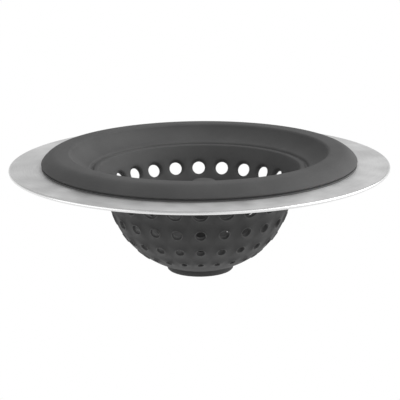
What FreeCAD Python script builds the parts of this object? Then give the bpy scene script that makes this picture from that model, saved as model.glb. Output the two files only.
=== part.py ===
# Sink strainer: a flat steel rim with a hemmed edge, and a soft silicone basket moulded onto it.
# The basket hangs from a thin fold under the collar, and pushing its base up turns it inside out.
# Its wall is divided into rings, one for each row of drain holes, that slide past each other as it turns.
# The origin is the middle of the foot's face, with +Z up. Lengths are in millimetres, angles in degrees.
import FreeCAD, Part
import math
import os
import Sketcher

DRIVING_SIZES = (
    ("rim_height", 32.9, "foot's face to the steel's top face"),
    ("rim_width", 9.5, "steel that shows round the collar"),
    ("sheet_thickness", 0.5, "steel sheet of the rim"),
    ("hem_width", 3.5, "steel folded back under the rim's edge"),
    ("steel_margin", 8.2, "steel that runs on inside the collar"),
    ("anchor_count", 12, "holes in that steel, which the silicone fills"),
    ("anchor_diameter", 2.6, "one such hole"),
    ("anchor_inset", 5.6, "collar's edge to the circle of these holes"),
    ("skirt_height", 0.45, "upright edge of the collar above the steel"),
    ("bead_groove_depth", 0.4, "groove between the skirt and the bead"),
    ("bead_groove_height", 0.3, "opening of that groove"),
    ("bead_width", 4.0, "collar's edge to its flat top, the crown"),
    ("bead_bulge", 0.4, "how far the slope between them bulges"),
    ("crown_width", 3.9, "flat of the crown"),
    ("crown_height", 4.05, "crown above the steel"),
    ("lip_width", 1.2, "crown to the edge where the funnel starts"),
    ("lip_fall", 0.8, "that edge below the crown"),
    ("funnel_width", 5.45, "funnel from that edge to its foot"),
    ("funnel_drop", 0.8, "foot of the funnel below the steel's top face"),
    ("funnel_hollow", 0.75, "how deep the funnel's slope is hollowed"),
    ("funnel_wall", 2.2, "silicone behind the foot of the funnel"),
    ("fold_groove_width", 1.05, "foot of the funnel to the basket's upper edge"),
    ("fold_groove_depth", 0.75, "groove there, above the fold"),
    ("fold_thickness", 0.8, "thin web that the basket turns on"),
    ("under_lip_inset", 3.3, "collar's edge to the silicone that enters the drain"),
    ("under_lip_thickness", 1.0, "that silicone below the steel"),
    ("mouth_diameter", 63.8, "outside of the basket's upper edge"),
    ("mouth_drop", 1.1, "that edge below the steel's top face"),
    ("wall_angle", 21.5, "slope of the upper wall, from upright"),
    ("wall_thickness", 1.5, "silicone of the wall and floor"),
    ("floor_diameter", 4.4, "flat middle of the floor, before the wall curves up"),
    ("floor_lift", 0.5, "underside of the floor above the foot's face"),
    ("foot_diameter", 20.2, "round foot under the floor"),
    ("foot_round", 0.6, "rounded lower edge of the foot"),
    ("post_diameter", 7.2, "post in the middle of the basket"),
    ("post_drop", 5.4, "top of the post below the steel's top face"),
    ("post_round", 0.8, "rounded top edge of the post"),
    ("holes_per_row", 24, "drain holes in each row"),
    ("hole_flare", 10.0, "each hole widens inwards by this slope"),
    ("hole_rim_width", 0.6, "raised rim round each hole"),
    ("hole_rim_height", 0.2, "that rim above the wall"),
    ("row_1_hole", 4.0, "drain holes of the top row"),
    ("row_2_hole", 2.5, "second row"),
    ("row_3_hole", 2.0, "third row"),
    ("row_4_hole", 1.4, "bottom row"),
    ("row_1_along", 7.9, "basket's upper edge to the top row, along the wall"),
    ("row_2_along", 15.4, "to the second row"),
    ("row_3_along", 22.2, "to the third row"),
    ("row_4_along", 29.0, "to the bottom row"),
    ("running_gap", 0.25, "room between parts that slide past each other"),
)
ROWS = (1, 2, 3, 4)

doc = FreeCAD.newDocument("sink_strainer")
sheet = doc.addObject("Spreadsheet::Sheet", "Sizes")
for line, (alias, size, meaning) in enumerate(DRIVING_SIZES, start=1):
    sheet.set(f"A{line}", meaning)
    sheet.set(f"B{line}", str(size))
    sheet.setAlias(f"B{line}", alias)
doc.recompute()

# Levels and radii that several pieces share, as expressions of the driving sizes
SHEET = "Sizes.sheet_thickness"
STEEL_TOP = "Sizes.rim_height"
STEEL_UNDER = f"({STEEL_TOP} - {SHEET})"
MOUTH_RADIUS = "Sizes.mouth_diameter / 2"
FUNNEL_RADIUS = f"({MOUTH_RADIUS} + Sizes.fold_groove_width)"
OPENING_RADIUS = f"({FUNNEL_RADIUS} + Sizes.funnel_width)"
CROWN_INNER = f"({OPENING_RADIUS} + Sizes.lip_width)"
CROWN_OUTER = f"({CROWN_INNER} + Sizes.crown_width)"
COLLAR_RADIUS = f"({CROWN_OUTER} + Sizes.bead_width)"
RIM_RADIUS = f"({COLLAR_RADIUS} + Sizes.rim_width)"
MOUTH_LEVEL = f"({STEEL_TOP} - Sizes.mouth_drop)"
WALL = "Sizes.wall_thickness"
ANGLE = "Sizes.wall_angle"
FLOOR_RADIUS = "Sizes.floor_diameter / 2"
FLOOR_UNDER = "Sizes.floor_lift"

# The basket's outside is a cone, rounded into the flat floor by one arc that touches both
CORNER_RADIUS = f"({MOUTH_RADIUS} - ({MOUTH_LEVEL} - {FLOOR_UNDER}) * tan({ANGLE}))"
TANGENT_LENGTH = f"({CORNER_RADIUS} - {FLOOR_RADIUS})"
BOWL_ROUND = f"({TANGENT_LENGTH} * tan(45 + {ANGLE} / 2))"
ARC_LEVEL = f"({FLOOR_UNDER} + {BOWL_ROUND})"
CONE_END_RADIUS = f"({CORNER_RADIUS} + {TANGENT_LENGTH} * sin({ANGLE}))"
CONE_END_LEVEL = f"({FLOOR_UNDER} + {TANGENT_LENGTH} * cos({ANGLE}))"
CONE_LENGTH = f"(({MOUTH_LEVEL} - {CONE_END_LEVEL}) / cos({ANGLE}))"


def value(expression):
    """The number that an expression of the sheet's sizes has now."""
    return float(sheet.evalExpression(expression))


def origin_feature(body, role):
    """One of a body's own origin planes or axes."""
    return next(feature for feature in body.Origin.OriginFeatures if feature.Role == role)


def new_sketch(body, name, plane):
    """An empty sketch on one of the body's origin planes."""
    sketch = body.newObject("Sketcher::SketchObject", name)
    sketch.AttachmentSupport = [(origin_feature(body, plane), "")]
    sketch.MapMode = "FlatFace"
    return sketch


def hold(sketch, constraint, expression):
    """Adds a dimension to a sketch and binds it to the sheet."""
    index = sketch.addConstraint(constraint)
    sketch.setExpression(f"Constraints[{index}]", expression)


def hold_point(sketch, geometry, end, x, y):
    """Holds one end of a line or arc at a place given by the sheet, or on an axis where that is 0."""
    vertical_axis = -2
    horizontal_axis = -1
    if x == "0":
        sketch.addConstraint(Sketcher.Constraint("PointOnObject", geometry, end, vertical_axis))
    else:
        hold(sketch, Sketcher.Constraint("DistanceX", -1, 1, geometry, end, value(x)), x)
    if y == "0":
        sketch.addConstraint(Sketcher.Constraint("PointOnObject", geometry, end, horizontal_axis))
    else:
        hold(sketch, Sketcher.Constraint("DistanceY", -1, 1, geometry, end, value(y)), y)


def arc_between(first, last, radius, side):
    """The short arc from first to last whose centre is on the left or right, and which end is which."""
    chord = last - first
    left = FreeCAD.Vector(-chord.y, chord.x, 0).normalize()
    to_centre = math.sqrt(max(radius ** 2 - (chord.Length / 2) ** 2, 0.0))
    turn = 1 if side == "left" else -1
    centre = first + chord / 2 + left * (turn * to_centre)
    start, stop = (first, last) if side == "left" else (last, first)
    angles = [math.atan2(point.y - centre.y, point.x - centre.x) for point in (start, stop)]
    arc = Part.ArcOfCircle(Part.Circle(centre, FreeCAD.Vector(0, 0, 1), radius), *angles)
    return arc, (1, 2) if side == "left" else (2, 1)


def draw_outline(sketch, corners):
    """Closes a chain of lines and arcs through corners held by the sheet.

    A corner is (x, y), or (x, y, radius, side) where an arc leads to the next one.
    """
    points = [FreeCAD.Vector(value(corner[0]), value(corner[1]), 0) for corner in corners]
    pieces = []
    for index, corner in enumerate(corners):
        first = points[index]
        last = points[(index + 1) % len(points)]
        if len(corner) == 4:
            shape, ends = arc_between(first, last, value(corner[2]), corner[3])
        else:
            shape, ends = Part.LineSegment(first, last), (1, 2)
        pieces.append((sketch.addGeometry(shape, False), ends))
    for index, (geometry, ends) in enumerate(pieces):
        following, following_ends = pieces[(index + 1) % len(pieces)]
        meeting = Sketcher.Constraint("Coincident", geometry, ends[1], following, following_ends[0])
        sketch.addConstraint(meeting)
        corner = corners[index]
        hold_point(sketch, geometry, ends[0], corner[0], corner[1])
        if len(corner) == 4:
            hold(sketch, Sketcher.Constraint("Radius", geometry, value(corner[2])), corner[2])


def turned_body(name, corners):
    """A body turned round Z from its half section in the XZ plane."""
    body = doc.addObject("PartDesign::Body", name)
    section = new_sketch(body, f"{name}_section", "XZ_Plane")
    draw_outline(section, corners)
    turning = body.newObject("PartDesign::Revolution", f"{name}_turning")
    turning.Profile = section
    turning.ReferenceAxis = (section, ["V_Axis"])
    turning.Angle = 360
    return body


def pattern_round_axis(body, name, features, count):
    """Repeats features of a body round Z."""
    pattern = body.newObject("PartDesign::PolarPattern", name)
    pattern.Originals = features
    pattern.Axis = (origin_feature(body, "Z_Axis"), [""])
    pattern.Angle = 360
    pattern.setExpression("Occurrences", count)
    body.Tip = pattern


def combine(kind, name, base, tool):
    """A cut, common or fused solid of two others."""
    result = doc.addObject(f"Part::{kind}", name)
    result.Base = base
    result.Tool = tool
    return result


def make_rim_plate():
    """The steel pressing: a flat ring, hemmed under at its edge, with anchor holes inside the collar."""
    hem_under = f"({STEEL_TOP} - 2 * {SHEET})"
    hem_edge = f"({RIM_RADIUS} - {SHEET})"
    hem_inner = f"({RIM_RADIUS} - Sizes.hem_width)"
    bore = f"({COLLAR_RADIUS} - Sizes.steel_margin)"
    body = turned_body("rim_plate", (
        (bore, STEEL_TOP),
        (hem_edge, STEEL_TOP, SHEET, "right"),
        (RIM_RADIUS, STEEL_UNDER, SHEET, "right"),
        (hem_edge, hem_under),
        (hem_inner, hem_under),
        (hem_inner, STEEL_UNDER),
        (bore, STEEL_UNDER),
    ))
    circle = new_sketch(body, "anchor_circle", "XY_Plane")
    circle.setExpression("AttachmentOffset.Base.z", STEEL_TOP)
    hole_place = f"({COLLAR_RADIUS} - Sizes.anchor_inset)"
    centre = FreeCAD.Vector(value(hole_place), 0, 0)
    radius = value("Sizes.anchor_diameter / 2")
    hole = circle.addGeometry(Part.Circle(centre, FreeCAD.Vector(0, 0, 1), radius), False)
    circle_centre = 3
    hold_point(circle, hole, circle_centre, hole_place, "0")
    hold(circle, Sketcher.Constraint("Radius", hole, radius), "Sizes.anchor_diameter / 2")
    cut = body.newObject("PartDesign::Pocket", "anchor_hole")
    cut.Profile = circle
    cut.setExpression("Length", f"2 * {SHEET}")
    pattern_round_axis(body, "anchor_holes", [cut], "Sizes.anchor_count")
    return body


def make_collar(rim_plate):
    """The thick silicone ring moulded round the steel's inner edge, ending in the thin fold."""
    under_lip_radius = f"({COLLAR_RADIUS} - Sizes.under_lip_inset)"
    groove_radius = f"({COLLAR_RADIUS} - Sizes.bead_groove_depth)"
    skirt_top = f"({STEEL_TOP} + Sizes.skirt_height)"
    bead_under = f"({skirt_top} + Sizes.bead_groove_height)"
    crown_level = f"({STEEL_TOP} + Sizes.crown_height)"
    opening_level = f"({crown_level} - Sizes.lip_fall)"
    funnel_level = f"({STEEL_TOP} - Sizes.funnel_drop)"
    fold_top = f"({funnel_level} - Sizes.fold_groove_depth)"
    fold_under = f"({fold_top} - Sizes.fold_thickness)"
    fold_end = f"({MOUTH_RADIUS} + Sizes.running_gap)"
    under_lip_level = f"({STEEL_UNDER} - Sizes.under_lip_thickness)"
    inside_steel = f"({STEEL_TOP} - {SHEET} / 2)"
    web_root = f"({FUNNEL_RADIUS} + Sizes.funnel_wall)"
    bead_chord = f"sqrt(Sizes.bead_width ^ 2 + ({crown_level} - {bead_under}) ^ 2)"
    bead_round = f"(({bead_chord} / 2) ^ 2 / (2 * Sizes.bead_bulge) + Sizes.bead_bulge / 2)"
    lip_round = "((Sizes.lip_width ^ 2 + Sizes.lip_fall ^ 2) / (2 * Sizes.lip_fall))"
    funnel_chord = f"sqrt(Sizes.funnel_width ^ 2 + ({opening_level} - {funnel_level}) ^ 2)"
    funnel_round = f"(({funnel_chord} / 2) ^ 2 / (2 * Sizes.funnel_hollow) + Sizes.funnel_hollow / 2)"
    blank = turned_body("collar_blank", (
        (under_lip_radius, under_lip_level),
        (under_lip_radius, inside_steel),
        (COLLAR_RADIUS, inside_steel),
        (COLLAR_RADIUS, skirt_top),
        (groove_radius, skirt_top),
        (groove_radius, bead_under),
        (COLLAR_RADIUS, bead_under, bead_round, "left"),
        (CROWN_OUTER, crown_level),
        (CROWN_INNER, crown_level, lip_round, "left"),
        (OPENING_RADIUS, opening_level, funnel_round, "right"),
        (FUNNEL_RADIUS, funnel_level),
        (FUNNEL_RADIUS, fold_top),
        (fold_end, fold_top),
        (fold_end, fold_under),
        (web_root, fold_under),
        (f"({web_root} + {under_lip_level} - {fold_under})", under_lip_level),
    ))
    return combine("Cut", "collar", blank, rim_plate)


def wall_place(row):
    """Where a row of holes lies on the outside of the wall: its radius, its level and its slope."""
    along = f"Sizes.row_{row}_along"
    on_cone = f"{along} < {CONE_LENGTH}"
    slope = f"({ANGLE} + ({on_cone} ? 0 : ({along} - {CONE_LENGTH}) / {BOWL_ROUND} * 180 / pi))"
    cone_radius = f"({MOUTH_RADIUS} - {along} * sin({ANGLE}))"
    cone_level = f"({MOUTH_LEVEL} - {along} * cos({ANGLE}))"
    arc_radius = f"({FLOOR_RADIUS} + {BOWL_ROUND} * cos({slope}))"
    arc_level = f"({ARC_LEVEL} - {BOWL_ROUND} * sin({slope}))"
    radius = f"({on_cone} ? {cone_radius} : {arc_radius})"
    level = f"({on_cone} ? {cone_level} : {arc_level})"
    return radius, level, slope


def sketch_on_wall(body, name, row):
    """A sketch whose X axis is the axis of a row's first hole, and whose origin is on the wall's outside."""
    radius, level, slope = wall_place(row)
    sketch = new_sketch(body, name, "XZ_Plane")
    downwards = FreeCAD.Rotation(FreeCAD.Vector(0, 0, -1), value(slope))
    sketch.AttachmentOffset = FreeCAD.Placement(FreeCAD.Vector(value(radius), value(level), 0), downwards)
    sketch.setExpression("AttachmentOffset.Base.x", radius)
    sketch.setExpression("AttachmentOffset.Base.y", level)
    sketch.setExpression("AttachmentOffset.Rotation.Angle", slope)
    return sketch


def make_round_wall_solids(name, row, corners):
    """A row of like solids round Z, each turned about the axis of a hole in the wall."""
    body = doc.addObject("PartDesign::Body", name)
    section = sketch_on_wall(body, f"{name}_section", row)
    draw_outline(section, corners)
    turning = body.newObject("PartDesign::Revolution", f"{name}_turning")
    turning.Profile = section
    turning.ReferenceAxis = (section, ["H_Axis"])
    turning.Angle = 360
    pattern_round_axis(body, f"{name}_pattern", [turning], "Sizes.holes_per_row")
    return body


def make_raised_rims(row):
    """The raised rims round the holes of a row, rooted in the wall."""
    root = f"(0 - {WALL} / 2)"
    top = "Sizes.hole_rim_height"
    radius = f"(Sizes.row_{row}_hole / 2 + Sizes.hole_rim_width)"
    return make_round_wall_solids(f"raised_rims_{row}", row, (
        (root, "0"),
        (top, "0"),
        (top, f"({radius} - {top})"),
        (root, radius),
    ))


def make_hole_cutters(row):
    """What a row's holes take away: cones that reach past both faces of the wall and widen inwards."""
    past_wall = f"(2 * {WALL})"
    radius = f"(Sizes.row_{row}_hole / 2)"
    flare = f"({past_wall} * tan(Sizes.hole_flare))"
    return make_round_wall_solids(f"holes_{row}", row, (
        (f"(0 - {past_wall})", "0"),
        (past_wall, "0"),
        (past_wall, f"({radius} - {flare})"),
        (f"(0 - {past_wall})", f"({radius} + {flare})"),
    ))


def make_basket_moulding():
    """The whole basket before its drain holes: sloping wall, rounded floor and foot."""
    foot_radius = "Sizes.foot_diameter / 2"
    foot_round = "Sizes.foot_round"
    foot_reach = f"({foot_radius} - {FLOOR_RADIUS})"
    foot_top = f"({ARC_LEVEL} - sqrt({BOWL_ROUND} ^ 2 - {foot_reach} ^ 2))"
    return turned_body("basket_moulding", (
        ("0", "0"),
        (f"({foot_radius} - {foot_round})", "0", foot_round, "left"),
        (foot_radius, foot_round),
        (foot_radius, foot_top, BOWL_ROUND, "left"),
        (CONE_END_RADIUS, CONE_END_LEVEL),
        (MOUTH_RADIUS, MOUTH_LEVEL),
        (f"({MOUTH_RADIUS} - {WALL} / cos({ANGLE}))", MOUTH_LEVEL),
        (f"({CONE_END_RADIUS} - {WALL} * cos({ANGLE}))", f"({CONE_END_LEVEL} + {WALL} * sin({ANGLE}))",
         f"({BOWL_ROUND} - {WALL})", "right"),
        (FLOOR_RADIUS, f"({FLOOR_UNDER} + {WALL})"),
        ("0", f"({FLOOR_UNDER} + {WALL})"),
    ))


def parting_radius(row):
    """The upright parting face between a row and the next, or between the last row and the base."""
    upper = wall_place(row)[0]
    if row < ROWS[-1]:
        lower = wall_place(row + 1)[0]
    else:
        lower = f"({upper} - (Sizes.row_{row}_along - Sizes.row_{row - 1}_along))"
    return f"(({upper} + {lower} - {WALL}) / 2)"


def upright_cylinder(name, radius):
    """A cylinder round Z that reaches past the basket at both ends."""
    cylinder = doc.addObject("Part::Cylinder", name)
    cylinder.setExpression("Radius", radius)
    cylinder.setExpression("Height", f"2 * {STEEL_TOP}")
    cylinder.setExpression("Placement.Base.z", f"-{STEEL_TOP} / 2")
    return cylinder


def make_wall_ring(moulding, row):
    """The part of the wall that holds one row of holes, between two upright parting faces."""
    half_gap = "Sizes.running_gap / 2"
    outer_radius = f"{parting_radius(row - 1)} - {half_gap}" if row > ROWS[0] else RIM_RADIUS
    outer = upright_cylinder(f"band_{row}_outer", outer_radius)
    inner = upright_cylinder(f"band_{row}_inner", f"{parting_radius(row)} + {half_gap}")
    band = combine("Cut", f"band_{row}", outer, inner)
    plain_ring = combine("Common", f"plain_ring_{row}", moulding, band)
    rims = combine("Common", f"trimmed_rims_{row}", make_raised_rims(row), band)
    rimmed_ring = combine("Fuse", f"rimmed_ring_{row}", plain_ring, rims)
    return combine("Cut", f"wall_row_{row}", rimmed_ring, make_hole_cutters(row))


def make_basket_base(moulding):
    """The closed floor with its foot below and the post that stands in the middle of the basket."""
    disc = upright_cylinder("base_disc", f"{parting_radius(ROWS[-1])} - Sizes.running_gap / 2")
    floor = combine("Common", "floor", moulding, disc)
    post_radius = "Sizes.post_diameter / 2"
    post_round = "Sizes.post_round"
    post_root = f"({FLOOR_UNDER} + {WALL} / 2)"
    post_top = f"({STEEL_TOP} - Sizes.post_drop)"
    post = turned_body("post", (
        ("0", post_root),
        (post_radius, post_root),
        (post_radius, f"({post_top} - {post_round})", post_round, "left"),
        (f"({post_radius} - {post_round})", post_top),
        ("0", post_top),
    ))
    return combine("Fuse", "basket_base", floor, post)


def check_document(nodes):
    """Stops before anything is written if an object failed or a piece isn't one sound solid."""
    for item in doc.Objects:
        if {"Invalid", "Error"} & set(item.State):
            raise RuntimeError(f"{item.Name} failed: {item.State}")
    for node in nodes:
        shape = node.Shape
        if shape.isNull() or not shape.isValid() or len(shape.Solids) != 1:
            raise RuntimeError(f"{node.Label} is not one sound solid")


rim_plate = make_rim_plate()
moulding = make_basket_moulding()
pieces = [rim_plate, make_collar(rim_plate)]
pieces += [make_wall_ring(moulding, row) for row in ROWS]
pieces.append(make_basket_base(moulding))
doc.recompute()
check_document(pieces)

os.makedirs("parts", exist_ok=True)
for piece in pieces:
    solid = piece.Shape.Solids[0]
    solid.exportStep(f"parts/{piece.Label}.step")
    print(f"{piece.Label}: {solid.Volume:.1f} mm3, {len(solid.Faces)} faces")
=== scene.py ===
# Sink strainer: a brushed steel rim with a soft silicone basket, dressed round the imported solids.
# Sizes are in metres, written as millimetres times MM. The origin is the middle of the foot's face.
import math

import bmesh
import bpy
from mathutils import Matrix, Vector


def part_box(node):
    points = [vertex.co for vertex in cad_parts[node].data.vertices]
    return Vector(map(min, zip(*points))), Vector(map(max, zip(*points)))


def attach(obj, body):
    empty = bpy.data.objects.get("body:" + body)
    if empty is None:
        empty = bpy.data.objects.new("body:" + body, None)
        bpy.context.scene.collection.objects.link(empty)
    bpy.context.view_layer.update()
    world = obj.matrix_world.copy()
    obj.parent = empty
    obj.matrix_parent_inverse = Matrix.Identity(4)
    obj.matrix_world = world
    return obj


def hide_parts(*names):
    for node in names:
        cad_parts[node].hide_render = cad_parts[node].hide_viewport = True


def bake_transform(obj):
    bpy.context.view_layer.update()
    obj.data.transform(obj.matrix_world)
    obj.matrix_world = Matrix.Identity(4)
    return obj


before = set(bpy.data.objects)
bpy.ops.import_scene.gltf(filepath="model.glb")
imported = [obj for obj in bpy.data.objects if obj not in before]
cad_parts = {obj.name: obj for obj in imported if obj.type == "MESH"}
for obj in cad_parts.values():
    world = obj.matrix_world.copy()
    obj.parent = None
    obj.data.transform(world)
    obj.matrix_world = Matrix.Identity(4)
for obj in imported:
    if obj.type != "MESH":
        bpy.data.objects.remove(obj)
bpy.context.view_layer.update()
MM = 0.001

# Steel rim
# A flat ring pressed from half-millimetre stainless sheet and brushed in circles. Its edge is hemmed,
# folded back underneath, so it is round and bright. Its inner margin is moulded into the collar.
rim_low, rim_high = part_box("rim_plate")
RIM_RADIUS = rim_high.x
STEEL_TOP = rim_high.z
HEM_UNDER = rim_low.z
SHEET = (STEEL_TOP - HEM_UNDER) / 2
STEEL_UNDER = STEEL_TOP - SHEET
HEM_INNER = RIM_RADIUS - 3.5 * MM
STEEL_BORE = 39.3 * MM
BEND_ROUND = 0.97 * SHEET
SHEAR_ROUND = 0.12 * MM
FULL_TURN = 2 * math.pi
TURN_STEPS = 192
ROUND_STEPS = 6
MERGE_WITHIN = 0.002 * MM


def round_section(mesh, corners, closed=True):
    """Draws a half section in the XZ plane, each corner (radius, level, rounding), and returns its edges."""
    points = [mesh.verts.new((radius, 0, level)) for radius, level, _ in corners]
    mesh.faces.new(points)
    for point, (_, _, rounding) in zip(points, corners):
        if rounding:
            bmesh.ops.bevel(mesh, geom=[point], offset=rounding, affect="VERTICES", segments=ROUND_STEPS,
                            profile=0.5, material=-1)
    bmesh.ops.delete(mesh, geom=mesh.faces[:], context="FACES_ONLY")
    if not closed:
        bmesh.ops.delete(mesh, geom=[mesh.edges.get((points[-1], points[0]))], context="EDGES")
    return mesh.edges[:]


def turn_about_axis(mesh, outline):
    """Spins an outline once round Z."""
    bmesh.ops.spin(mesh, geom=outline, cent=(0, 0, 0), axis=(0, 0, 1), angle=FULL_TURN, steps=TURN_STEPS,
                   use_merge=True)


def finish_piece(name, mesh, material):
    """Closes a mesh, turns its faces outwards and puts it in the scene, smooth."""
    bmesh.ops.remove_doubles(mesh, verts=mesh.verts[:], dist=MERGE_WITHIN)
    bmesh.ops.recalc_face_normals(mesh, faces=mesh.faces[:])
    for face in mesh.faces:
        face.smooth = True
    data = bpy.data.meshes.new(name)
    mesh.to_mesh(data)
    mesh.free()
    data.materials.append(material)
    piece = bpy.data.objects.new(name, data)
    bpy.context.scene.collection.objects.link(piece)
    return piece


def new_material(name):
    """A new material, with its nodes, its links and its Principled shader."""
    material = bpy.data.materials.new(name)
    material.use_nodes = True
    nodes = material.node_tree.nodes
    shader = next(node for node in nodes if node.type == "BSDF_PRINCIPLED")
    return material, nodes, material.node_tree.links, shader


def vector_step(nodes, links, operation, source):
    """One step of arithmetic on a vector."""
    step = nodes.new("ShaderNodeVectorMath")
    step.operation = operation
    links.new(source, step.inputs[0])
    return step


def add_noise(nodes, links, place, scale, detail):
    """A noise from 0 to 1, read at a place."""
    noise = nodes.new("ShaderNodeTexNoise")
    noise.inputs["Scale"].default_value = scale
    noise.inputs["Detail"].default_value = detail
    links.new(place, noise.inputs["Vector"])
    return noise.outputs["Fac"]


def spread_values(nodes, links, source, lowest, highest):
    """Carries a noise from the middle of its range to the span from lowest to highest."""
    spread = nodes.new("ShaderNodeMapRange")
    spread.inputs["From Min"].default_value = 0.3
    spread.inputs["From Max"].default_value = 0.7
    spread.inputs["To Min"].default_value = lowest
    spread.inputs["To Max"].default_value = highest
    links.new(source, spread.inputs["Value"])
    return spread.outputs["Result"]


def mix_greys(nodes, links, share, first, second):
    """A colour between two others, each of them a plain grey or another node's colour."""
    mixed = nodes.new("ShaderNodeMix")
    mixed.data_type = "RGBA"
    links.new(share, mixed.inputs["Factor"])
    for name, colour in (("A", first), ("B", second)):
        if isinstance(colour, float):
            mixed.inputs[name].default_value = (colour, colour, colour, 1)
        else:
            links.new(colour, mixed.inputs[name])
    return mixed.outputs["Result"]


def add_relief(nodes, links, shader, height, strength, distance):
    """Gives a shader's surface a fine relief."""
    bump = nodes.new("ShaderNodeBump")
    bump.inputs["Strength"].default_value = strength
    bump.inputs["Distance"].default_value = distance
    links.new(height, bump.inputs["Height"])
    links.new(bump.outputs["Normal"], shader.inputs["Normal"])


def brushed_steel():
    """Stainless steel with hair-fine brush lines that run round the axis, and faint cloudy patches."""
    material, nodes, links, shader = new_material("brushed_steel")
    place = nodes.new("ShaderNodeTexCoord").outputs["Object"]
    flat = vector_step(nodes, links, "MULTIPLY", place)
    flat.inputs[1].default_value = (1, 1, 0)
    radius = vector_step(nodes, links, "LENGTH", flat.outputs["Vector"]).outputs["Value"]
    outward = vector_step(nodes, links, "NORMALIZE", flat.outputs["Vector"]).outputs["Vector"]
    across = nodes.new("ShaderNodeCombineXYZ")
    links.new(radius, across.inputs["Z"])
    lines_per_metre = vector_step(nodes, links, "SCALE", across.outputs["Vector"])
    lines_per_metre.inputs["Scale"].default_value = 5200
    round_and_across = vector_step(nodes, links, "MULTIPLY_ADD", outward)
    round_and_across.inputs[1].default_value = (9, 9, 9)
    links.new(lines_per_metre.outputs["Vector"], round_and_across.inputs[2])
    brushing = add_noise(nodes, links, round_and_across.outputs["Vector"], scale=1, detail=3)
    clouds = add_noise(nodes, links, place, scale=110, detail=2)
    tone = mix_greys(nodes, links, spread_values(nodes, links, brushing, 0.2, 0.8), 0.70, 0.84)
    smudged = vector_step(nodes, links, "SCALE", tone)
    links.new(spread_values(nodes, links, clouds, 0.93, 1.07), smudged.inputs["Scale"])
    bright_edge = nodes.new("ShaderNodeMapRange")
    bright_edge.inputs["From Min"].default_value = RIM_RADIUS - 1.2 * SHEET
    bright_edge.inputs["From Max"].default_value = RIM_RADIUS - SHEET
    links.new(radius, bright_edge.inputs["Value"])
    on_edge = bright_edge.outputs["Result"]
    roughness = nodes.new("ShaderNodeMix")
    roughness.inputs["B"].default_value = 0.25
    links.new(on_edge, roughness.inputs["Factor"])
    links.new(spread_values(nodes, links, clouds, 0.5, 0.6), roughness.inputs["A"])
    links.new(roughness.outputs["Result"], shader.inputs["Roughness"])
    colour = mix_greys(nodes, links, on_edge, smudged.outputs["Vector"], 0.78)
    links.new(colour, shader.inputs["Base Color"])
    shader.inputs["Anisotropic"].default_value = 0.1
    shader.inputs["Anisotropic Rotation"].default_value = 0.25
    shader.inputs["Metallic"].default_value = 1
    add_relief(nodes, links, shader, brushing, strength=0.12, distance=0.02 * MM)
    return material


rim_mesh = bmesh.new()
rim_outline = round_section(rim_mesh, (
    (STEEL_BORE, STEEL_TOP, 0),
    (RIM_RADIUS, STEEL_TOP, BEND_ROUND),
    (RIM_RADIUS, HEM_UNDER, BEND_ROUND),
    (HEM_INNER, HEM_UNDER, SHEAR_ROUND),
    (HEM_INNER, STEEL_UNDER, 0),
    (STEEL_BORE, STEEL_UNDER, 0),
))
turn_about_axis(rim_mesh, rim_outline)
steel_rim = finish_piece("steel_rim", rim_mesh, brushed_steel())
steel_rim.modifiers.new("flat_faces_stay_flat", "WEIGHTED_NORMAL")
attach(steel_rim, "rim")
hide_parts("rim_plate")

# Collar
# A thick ring of dark silicone, moulded round the steel's inner margin. It has a thin skirt on the steel,
# a bead that slopes up to a flat crown, a funnel inside, and a lip under the steel that enters the drain.
collar_low, collar_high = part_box("collar")
COLLAR_RADIUS = collar_high.x
CROWN_LEVEL = collar_high.z
CROWN_RADIUS = COLLAR_RADIUS - 4.0 * MM
CROWN_ROUND = 0.7 * MM
OPENING_RADIUS = CROWN_RADIUS - 5.1 * MM
OPENING_LEVEL = CROWN_LEVEL - 0.8 * MM
LIP_STEP = 0.33 * MM
LIP_ROUND = 0.65 * MM
LIP_EDGE_ROUND = 0.15 * MM
FUNNEL_RADIUS = OPENING_RADIUS - 5.45 * MM
FUNNEL_LEVEL = STEEL_TOP - 0.8 * MM
FUNNEL_HOLLOW = 0.75 * MM
FUNNEL_ROUND_SHARE = 0.85
UNDER_LIP_RADIUS = COLLAR_RADIUS - 3.3 * MM
UNDER_LIP_LEVEL = STEEL_TOP - 1.5 * MM
SKIRT_RADIUS = COLLAR_RADIUS - 0.3 * MM
SKIRT_TOP = STEEL_TOP + 0.45 * MM
BEAD_UNDER = SKIRT_TOP + 0.3 * MM
BEAD_GROOVE_RADIUS = COLLAR_RADIUS - 0.8 * MM
BEAD_EDGE_LEVEL = BEAD_UNDER + 0.15 * MM
BEAD_EDGE_ROUND = 0.55 * MM
BEAD_BULGE = 0.4 * MM
BEAD_ROUND_SHARE = 0.7
FOLD_TOP = FUNNEL_LEVEL - 0.75 * MM
FOLD_UNDER = collar_low.z
FOLD_END = 31.0 * MM
FOLD_ROOT = FUNNEL_RADIUS + 2.2 * MM
GROOVE_FOOT_RADIUS = FUNNEL_RADIUS - 0.2 * MM
GROOVE_FOOT_ROUND = 0.25 * MM
GROOVE_ROUND = 0.45 * MM
MOULD_ROUND = 0.2 * MM
COLLAR_SHARP_ANGLE = math.radians(40)


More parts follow.
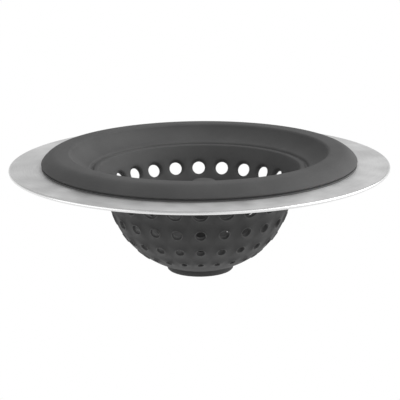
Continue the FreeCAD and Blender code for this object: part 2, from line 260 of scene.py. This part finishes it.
def silicone(name, grey):
    """Satin silicone: dark grey, slightly mottled, with a fine grain, and a painted highlight, paler grey, on
    marked crests.
    """
    material, nodes, links, shader = new_material(name)
    place = nodes.new("ShaderNodeTexCoord").outputs["Object"]
    mottle = add_noise(nodes, links, place, scale=120, detail=4)
    grain = add_noise(nodes, links, place, scale=2600, detail=2)
    tone = mix_greys(nodes, links, spread_values(nodes, links, mottle, 0, 1), 0.92 * grey, 1.08 * grey)
    # Where the crest attribute is set, the grey is painted paler: a painted highlight.
    crest = nodes.new("ShaderNodeAttribute")
    crest.attribute_name = "crest"
    painted_crest_highlight = mix_greys(nodes, links, crest.outputs["Fac"], tone, 1.7 * grey)
    links.new(painted_crest_highlight, shader.inputs["Base Color"])
    links.new(spread_values(nodes, links, grain, 0.64, 0.76), shader.inputs["Roughness"])
    shader.inputs["IOR"].default_value = 1.41
    add_relief(nodes, links, shader, grain, strength=0.1, distance=0.03 * MM)
    return material


def arc_corner(first, last, depth, share):
    """A corner between two others, whose rounding hollows the run from one to the other by a depth.

    A negative depth makes it bulge. The share says how much of the run the rounding takes up.
    """
    run = Vector(last) - Vector(first)
    half = run.length / 2
    half_turn = 2 * math.atan(depth / half)
    aside = run.orthogonal().normalized() * half * math.tan(half_turn)
    radius, level = (Vector(first) + Vector(last)) / 2 + aside
    return radius, level, share * half / math.cos(half_turn)


dark_silicone = silicone("dark_silicone", 0.09)
bead_edge = (COLLAR_RADIUS, BEAD_EDGE_LEVEL)
crown_edge = (CROWN_RADIUS, CROWN_LEVEL)
opening_edge = (OPENING_RADIUS, OPENING_LEVEL)
funnel_foot = (FUNNEL_RADIUS, FUNNEL_LEVEL)
collar_mesh = bmesh.new()
collar_outline = round_section(collar_mesh, (
    (UNDER_LIP_RADIUS, UNDER_LIP_LEVEL, MOULD_ROUND),
    (UNDER_LIP_RADIUS, STEEL_UNDER, 0),
    (STEEL_BORE, STEEL_UNDER, 0),
    (STEEL_BORE, STEEL_TOP, 0),
    (SKIRT_RADIUS, STEEL_TOP, 0),
    (SKIRT_RADIUS, SKIRT_TOP, MOULD_ROUND),
    (BEAD_GROOVE_RADIUS, SKIRT_TOP, 0),
    (BEAD_GROOVE_RADIUS, BEAD_UNDER, 0),
    (*bead_edge, BEAD_EDGE_ROUND),
    arc_corner(bead_edge, crown_edge, -BEAD_BULGE, BEAD_ROUND_SHARE),
    (*crown_edge, CROWN_ROUND),
    (OPENING_RADIUS + LIP_STEP, CROWN_LEVEL, LIP_ROUND),
    (*opening_edge, LIP_EDGE_ROUND),
    arc_corner(opening_edge, funnel_foot, FUNNEL_HOLLOW, FUNNEL_ROUND_SHARE),
    (*funnel_foot, GROOVE_ROUND),
    (GROOVE_FOOT_RADIUS, FOLD_TOP, GROOVE_FOOT_ROUND),
    (FOLD_END, FOLD_TOP, 0),
    (FOLD_END, FOLD_UNDER, 0),
    (FOLD_ROOT, FOLD_UNDER, 0),
    (FOLD_ROOT + UNDER_LIP_LEVEL - FOLD_UNDER, UNDER_LIP_LEVEL, 0),
))
turn_about_axis(collar_mesh, collar_outline)
collar = finish_piece("silicone_collar", collar_mesh, dark_silicone)
collar.data.set_sharp_from_angle(angle=COLLAR_SHARP_ANGLE)
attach(collar, "rim")
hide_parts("collar")

# Basket
# The thin wall under the collar: a cone rounded into a closed floor with a round foot. Four rows of drain
# holes go through it, each with a raised rim outside and a bell mouth inside. It turns inside out in use.
_, ring_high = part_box("wall_row_1")
MOUTH_RADIUS = ring_high.x
MOUTH_LEVEL = ring_high.z
MOUTH_ROUND = 0.45 * MM
WALL = 1.5 * MM
WALL_ANGLE = math.radians(21.5)
FLOOR_RADIUS = 2.2 * MM
FLOOR_UNDER = 0.5 * MM
FLOOR_STEPS = 12
FOOT_RADIUS = 10.1 * MM
FOOT_ROUND = 0.6 * MM
FOOT_STEPS = 6
HOLES_PER_ROW = 24
PITCH = FULL_TURN / HOLES_PER_ROW
# Four sides of one hole's band share these steps, so that the bands of a row have TURN_STEPS points round
HOLE_STEPS = 4 * TURN_STEPS // HOLES_PER_ROW
RIM_HEIGHT = 0.2 * MM
CREST_FROM = 0.8 * RIM_HEIGHT
BASKET_SHARP_ANGLE = math.radians(50)
FIRST_BAND_TOP = 4.4 * MM
# Each row: its place along the wall, the radius of its holes, and the lower edge of its band
ROWS = (
    (7.9 * MM, 1.98 * MM, 11.9 * MM),
    (15.4 * MM, 1.25 * MM, 19.0 * MM),
    (22.2 * MM, 1.0 * MM, 25.7 * MM),
    (29.0 * MM, 0.68 * MM, 31.4 * MM),
)
# The raised rim's section from its outside to the hole's edge: (out from the edge, out from the wall)
RIM_SECTION = (
    (0.6 * MM, 0.02 * MM),
    (0.54 * MM, 0.4 * RIM_HEIGHT),
    (0.46 * MM, 0.85 * RIM_HEIGHT),
    (0.36 * MM, RIM_HEIGHT),
    (0.26 * MM, 0.85 * RIM_HEIGHT),
    (0.18 * MM, 0.3 * RIM_HEIGHT),
    (0.1 * MM, -0.16 * MM),
    (0, -0.34 * MM),
)
# The bell mouth's section from there to the wall's inside: (wider, as a share of the hole, out from the wall)
BELL_SECTION = (
    (0.04, -0.6 * MM),
    (0.15, -1.0 * MM),
    (0.3, -1.34 * MM),
    (0.48, -1.48 * MM),
)

corner_radius = MOUTH_RADIUS - (MOUTH_LEVEL - FLOOR_UNDER) * math.tan(WALL_ANGLE)
tangent_length = corner_radius - FLOOR_RADIUS
BOWL_ROUND = tangent_length * math.tan(math.pi / 4 + WALL_ANGLE / 2)
CONE_LENGTH = (MOUTH_LEVEL - FLOOR_UNDER) / math.cos(WALL_ANGLE) - tangent_length


def on_wall(along, out):
    """Radius and level of a place along the basket's section, out from its outer face."""
    if along < CONE_LENGTH:
        slope = WALL_ANGLE
        radius = MOUTH_RADIUS - along * math.sin(slope)
        level = MOUTH_LEVEL - along * math.cos(slope)
    else:
        slope = WALL_ANGLE + (along - CONE_LENGTH) / BOWL_ROUND
        radius = FLOOR_RADIUS + BOWL_ROUND * math.cos(slope)
        level = FLOOR_UNDER + BOWL_ROUND * (1 - math.sin(slope))
    return radius + out * math.cos(slope), level - out * math.sin(slope)


def add_circle(mesh, along, out, radius):
    """One ring round a hole, on a panel in millimetres: round at the mouth, along the wall and out of it."""
    here = Matrix.Translation(Vector((0, along, out)) / MM)
    size = Matrix.Diagonal((MOUTH_RADIUS / on_wall(along, out)[0], 1, 1, 1))
    made = bmesh.ops.create_circle(mesh, segments=HOLE_STEPS, radius=radius / MM, matrix=here @ size)
    return list({edge for vert in made["verts"] for edge in vert.link_edges})


def add_band_edge(mesh, top, bottom, out):
    """The edge of one hole's share of the wall on that panel, with as many points as a ring."""
    here = Matrix.Translation(Vector((0, (top + bottom) / 2, out)) / MM)
    size = Matrix.Diagonal((PITCH * MOUTH_RADIUS / MM, (bottom - top) / MM, 1, 1))
    made = bmesh.ops.create_grid(mesh, x_segments=1, y_segments=1, size=0.5, matrix=here @ size)
    edges = made["verts"][0].link_faces[0].edges[:]
    bmesh.ops.delete(mesh, geom=made["verts"][0].link_faces[:], context="FACES_ONLY")
    split = bmesh.ops.subdivide_edges(mesh, edges=edges, cuts=HOLE_STEPS // 4 - 1)
    return [item for item in split["geom"] if isinstance(item, bmesh.types.BMEdge)]


def add_turned_line(mesh, points):
    """Spins an open line of (radius, level) points round Z, in the same steps as the holes' bands."""
    verts = [mesh.verts.new((radius, 0, level)) for radius, level in points]
    edges = [mesh.edges.new(pair) for pair in zip(verts, verts[1:])]
    turn_about_axis(mesh, edges)


def wall_run(first, last, out, steps):
    """Evenly spaced places along one face of the wall."""
    return [on_wall(first + (last - first) * step / steps, out) for step in range(steps + 1)]


foot_along = CONE_LENGTH + BOWL_ROUND * (math.acos((FOOT_RADIUS - FLOOR_RADIUS) / BOWL_ROUND) - WALL_ANGLE)
floor_end = CONE_LENGTH + BOWL_ROUND * (math.pi / 2 - WALL_ANGLE)
foot_edge = [(FOOT_RADIUS - FOOT_ROUND * (1 - math.cos(turn)), FOOT_ROUND * (1 - math.sin(turn)))
             for turn in (0, math.pi / 6, math.pi / 3, math.pi / 2)]
foot_middle = (0, 0)
floor_middle = (0, FLOOR_UNDER + WALL)
basket_mesh = bmesh.new()
mouth_outline = round_section(basket_mesh, (
    (*on_wall(FIRST_BAND_TOP, 0), 0),
    (MOUTH_RADIUS, MOUTH_LEVEL, MOUTH_ROUND),
    (MOUTH_RADIUS - WALL / math.cos(WALL_ANGLE), MOUTH_LEVEL, MOUTH_ROUND),
    (*on_wall(FIRST_BAND_TOP, -WALL), 0),
), closed=False)
turn_about_axis(basket_mesh, mouth_outline)
last_band_end = ROWS[-1][-1]
add_turned_line(basket_mesh, wall_run(last_band_end, foot_along, 0, FOOT_STEPS) + foot_edge + [foot_middle])
add_turned_line(basket_mesh, wall_run(last_band_end, floor_end, -WALL, FLOOR_STEPS) + [floor_middle])

# One column of holes is drawn on a flat panel, bent onto the wall and repeated round the axis
column_mesh = bmesh.new()
band_top = FIRST_BAND_TOP
for along, hole_radius, band_bottom in ROWS:
    rings = [add_band_edge(column_mesh, band_top, band_bottom, 0)]
    for outward, out in RIM_SECTION:
        rings.append(add_circle(column_mesh, along, out, hole_radius + outward))
    for wider, out in BELL_SECTION:
        rings.append(add_circle(column_mesh, along, out, hole_radius * (1 + wider)))
    rings.append(add_band_edge(column_mesh, band_top, band_bottom, -WALL))
    for ring, following in zip(rings, rings[1:]):
        bmesh.ops.bridge_loops(column_mesh, edges=ring + following)
    band_top = band_bottom
# The crests of the raised hole rims are marked, so that the silicone paints a highlight on them.
crest = column_mesh.verts.layers.float.new("crest")
for vert in column_mesh.verts:
    across, along, out = vert.co * MM
    vert[crest] = 1 if out > CREST_FROM else 0
    angle = across / MOUTH_RADIUS
    radius, level = on_wall(along, out)
    vert.co = (radius * math.cos(angle), radius * math.sin(angle), level)
bmesh.ops.spin(column_mesh, geom=column_mesh.faces[:], cent=(0, 0, 0), axis=(0, 0, 1),
               angle=FULL_TURN - PITCH, steps=HOLES_PER_ROW - 1, use_duplicate=True)
columns = bpy.data.meshes.new("columns")
column_mesh.to_mesh(columns)
column_mesh.free()
basket_mesh.from_mesh(columns)
bpy.data.meshes.remove(columns)
basket = finish_piece("basket", basket_mesh, dark_silicone)
basket.data.set_sharp_from_angle(angle=BASKET_SHARP_ANGLE)
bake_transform(basket)
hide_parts("wall_row_1", "wall_row_2", "wall_row_3", "wall_row_4", "basket_base")

# Post
# A soft silicone stem that stands on the floor of the basket, with a flat rounded top to push or pull by.
# It is moulded in one with the floor, and leans a little to one side.
_, base_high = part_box("basket_base")
POST_RADIUS = 3.6 * MM
POST_TOP = base_high.z
POST_ROOT = FLOOR_UNDER + 0.5 * WALL
POST_ROUND = 0.8 * MM
POST_LEAN = 1.4 * MM
POST_CUTS = 10
post_mesh = bmesh.new()
post_outline = round_section(post_mesh, (
    (0, POST_ROOT, 0),
    (POST_RADIUS, POST_ROOT, 0),
    (POST_RADIUS, POST_TOP, POST_ROUND),
    (0, POST_TOP, 0),
), closed=False)
turn_about_axis(post_mesh, post_outline)
upright_edges = [edge for edge in post_mesh.edges if edge.calc_length() > POST_TOP / 2]
bmesh.ops.subdivide_edges(post_mesh, edges=upright_edges, cuts=POST_CUTS)
for vert in post_mesh.verts:
    share = (vert.co.z - POST_ROOT) / (POST_TOP - POST_ROOT)
    vert.co.x += POST_LEAN * share ** 2
post = finish_piece("post", post_mesh, dark_silicone)
post.data.set_sharp_from_angle(angle=BASKET_SHARP_ANGLE)
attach(post, "base")
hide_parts("basket_base")

# Studio
# A white room with a plain white table well below the part, so that its white lights the underside.
# Three soft lamps stand round the part, and the strongest is at the right.
FLOOR_HALF = 0.28
FLOOR_DROP = 200 * MM
SHADOW_SHOWN = 0.08


def rays_that_see(nodes, links):
    """Is 1 for the rays that show a surface: from the camera, or mirrored or passed on by a piece."""
    light_path = nodes.new("ShaderNodeLightPath")
    seen = light_path.outputs["Is Camera Ray"]
    for name in ("Is Glossy Ray", "Is Transmission Ray"):
        either = nodes.new("ShaderNodeMath")
        either.operation = "MAXIMUM"
        links.new(seen, either.inputs[0])
        links.new(light_path.outputs[name], either.inputs[1])
        seen = either.outputs["Value"]
    return seen


def mix_shaders(nodes, links, share, first, second):
    """A shader between two others, by a share that is a number or another node's value."""
    mixed = nodes.new("ShaderNodeMixShader")
    if isinstance(share, float):
        mixed.inputs["Fac"].default_value = share
    else:
        links.new(share, mixed.inputs["Fac"])
    links.new(first, mixed.inputs[1])
    links.new(second, mixed.inputs[2])
    return mixed.outputs["Shader"]


floor_mesh = bmesh.new()
bmesh.ops.create_grid(floor_mesh, x_segments=1, y_segments=1, size=FLOOR_HALF,
                      matrix=Matrix.Translation((0, 0, -FLOOR_DROP)))
floor_material, floor_nodes, floor_links, floor_shader = new_material("white_table")
floor_shader.inputs["Base Color"].default_value = (0.9, 0.9, 0.9, 1)
floor_shader.inputs["Roughness"].default_value = 0.9
floor_paint = floor_shader.outputs["BSDF"]
floor_glow = floor_nodes.new("ShaderNodeEmission").outputs["Emission"]
floor_shown = mix_shaders(floor_nodes, floor_links, SHADOW_SHOWN, floor_glow, floor_paint)
floor_is_seen = rays_that_see(floor_nodes, floor_links)
floor_top = mix_shaders(floor_nodes, floor_links, floor_is_seen, floor_paint, floor_shown)
floor_below = floor_nodes.new("ShaderNodeBsdfTransparent").outputs["BSDF"]
underside = floor_nodes.new("ShaderNodeNewGeometry").outputs["Backfacing"]
floor_links.new(mix_shaders(floor_nodes, floor_links, underside, floor_top, floor_below),
                floor_nodes["Material Output"].inputs["Surface"])
floor_data = bpy.data.meshes.new("table")
floor_mesh.to_mesh(floor_data)
floor_mesh.free()
floor_data.materials.append(floor_material)
floor = bpy.data.objects.new("table", floor_data)
bpy.context.scene.collection.objects.link(floor)

world = bpy.data.worlds.new("white_room")
world.use_nodes = True
bpy.context.scene.world = world
world_nodes = world.node_tree.nodes
world_links = world.node_tree.links
fill = world_nodes["Background"]
white = world_nodes.new("ShaderNodeBackground")
height = world_nodes.new("ShaderNodeSeparateXYZ")
world_links.new(world_nodes.new("ShaderNodeTexCoord").outputs["Generated"], height.inputs["Vector"])
# How bright each one is below the horizon and overhead
for light, below, overhead in ((fill, 0, 0.34), (white, 1, 0.56)):
    light.inputs["Color"].default_value = (1, 1, 1, 1)
    brightness = world_nodes.new("ShaderNodeMapRange")
    brightness.inputs["From Min"].default_value = -0.05
    brightness.inputs["From Max"].default_value = 0.35
    brightness.inputs["To Min"].default_value = below
    brightness.inputs["To Max"].default_value = overhead
    world_links.new(height.outputs["Z"], brightness.inputs["Value"])
    world_links.new(brightness.outputs["Result"], light.inputs["Strength"])
world_links.new(mix_shaders(world_nodes, world_links, rays_that_see(world_nodes, world_links),
                            fill.outputs["Background"], white.outputs["Background"]),
                world_nodes["World Output"].inputs["Surface"])


def soft_lamp(name, size, watts, place, aim):
    """A square soft lamp at a place, turned to what it lights."""
    lamp = bpy.data.lights.new(name, "AREA")
    lamp.shape = "SQUARE"
    lamp.size = size
    lamp.energy = watts
    fixture = bpy.data.objects.new(name, lamp)
    fixture.location = place
    fixture.rotation_euler = (Vector(aim) - Vector(place)).to_track_quat("-Z", "Y").to_euler()
    bpy.context.scene.collection.objects.link(fixture)


RIM_CENTRE = Vector((0, 0, STEEL_TOP))
soft_lamp("right", 1.4, 13.5, (1.05, 0.15, 0.72), RIM_CENTRE)
soft_lamp("front_right", 1.2, 3, (0.7, -0.7, 0.72), RIM_CENTRE)
soft_lamp("left", 1.2, 3.5, (-1.0, -0.4, 0.5), RIM_CENTRE)

# Camera
# A long lens a little above the rim, where the photograph was taken from.
CAMERA_DISTANCE = 430 * MM
CAMERA_ELEVATION = math.radians(13.08)
CAMERA_TURN = math.radians(-0.44)
CAMERA_ROLL = math.radians(-0.58)
IMAGE_SIDE = 400
FOCAL_PIXELS = 1430
RIM_CENTRE_PIXEL = (199.32, 162.7)
camera_data = bpy.data.cameras.new("camera")
camera_data.sensor_width = 36
camera_data.lens = FOCAL_PIXELS / IMAGE_SIDE * camera_data.sensor_width
camera = bpy.data.objects.new("camera", camera_data)
bpy.context.scene.collection.objects.link(camera)
backward = Vector((math.sin(CAMERA_TURN) * math.cos(CAMERA_ELEVATION),
                   -math.cos(CAMERA_TURN) * math.cos(CAMERA_ELEVATION), math.sin(CAMERA_ELEVATION)))
yaw = math.atan((RIM_CENTRE_PIXEL[0] - IMAGE_SIDE / 2) / FOCAL_PIXELS)
pitch = -math.atan((IMAGE_SIDE / 2 - RIM_CENTRE_PIXEL[1]) / FOCAL_PIXELS)
look = (-backward).to_track_quat("-Z", "Y").to_matrix().to_4x4()
turn = Matrix.Rotation(CAMERA_ROLL, 4, "Z") @ Matrix.Rotation(pitch, 4, "X") @ Matrix.Rotation(yaw, 4, "Y")
camera.matrix_world = Matrix.Translation(RIM_CENTRE + backward * CAMERA_DISTANCE) @ look @ turn
bpy.context.scene.camera = camera
bpy.context.scene.view_settings.view_transform = "Standard"
